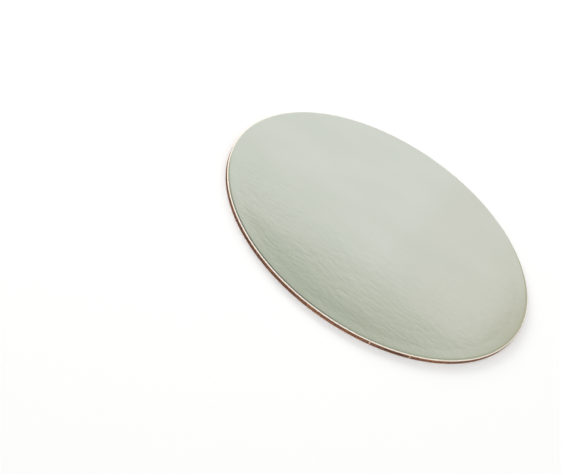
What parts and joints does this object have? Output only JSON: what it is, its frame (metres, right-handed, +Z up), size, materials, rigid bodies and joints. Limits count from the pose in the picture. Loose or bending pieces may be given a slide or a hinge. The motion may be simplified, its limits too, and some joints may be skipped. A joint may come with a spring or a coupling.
{
  "type": "cake board",
  "caption": "Round flat board that carries a cake: stiff brown cardboard core, silver foil upper face, white paper lower face.",
  "frame": {"origin": "centre of the board's lower face, on the surface that it lies on", "axes": "+Z up through the board's thickness, towards the foil face; the foil's grain runs along X"},
  "size_m": [0.203, 0.203, 0.003],
  "materials": {
    "silver_foil": "satin",
    "brown_cardboard": "matte",
    "white_paper": "matte"
  },
  "bodies": {
    "root": {"foil_face": "silver_foil", "board_core": "brown_cardboard", "backing_paper": "white_paper"}
  },
  "joints": []
}
